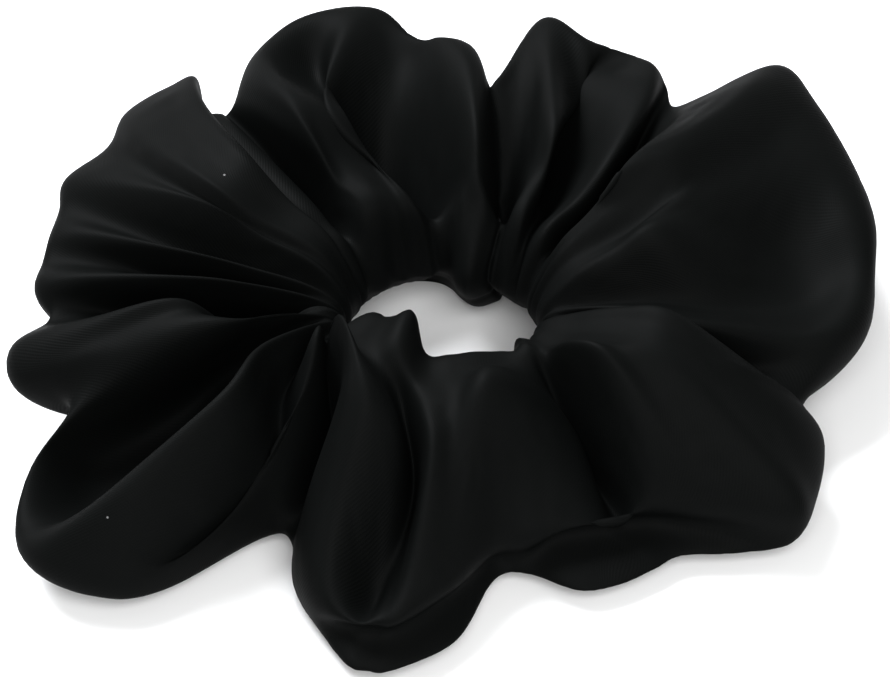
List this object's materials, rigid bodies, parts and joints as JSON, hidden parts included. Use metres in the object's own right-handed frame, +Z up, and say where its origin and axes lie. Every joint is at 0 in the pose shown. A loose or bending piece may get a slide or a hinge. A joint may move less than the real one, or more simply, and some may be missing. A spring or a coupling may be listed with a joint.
{
  "type": "scrunchie",
  "caption": "Satin hair scrunchie: a gathered cloth tube over an elastic loop, lying flat with its hole facing up.",
  "frame": {"origin": "middle of the object's box, on the surface that it lies on", "axes": "+Z up along the axis of the hole, +X along the longest extent, which is the way the loop is pulled open"},
  "size_m": [0.134, 0.1138, 0.0321],
  "materials": {
    "satin": "black satin with a fine twill line and a soft cool sheen",
    "elastic": "black braided elastic, matt",
    "thread": "black polyester sewing thread"
  },
  "bodies": {
    "left": {"satin_cover_left": "satin", "elastic_band": "elastic", "elastic_lap_stitches": "thread", "long_seam_thread": "thread"},
    "right": {"satin_cover_right": "satin", "closing_seam_thread": "thread"}
  },
  "joints": [
    {"name": "stretch", "type": "slide", "parent": "left", "child": "right", "axis": [1, 0, 0], "range_m": [0, 0.09], "stiffness_N_per_m": 60, "deforming": ["elastic_band", "long_seam_thread"]}
  ]
}
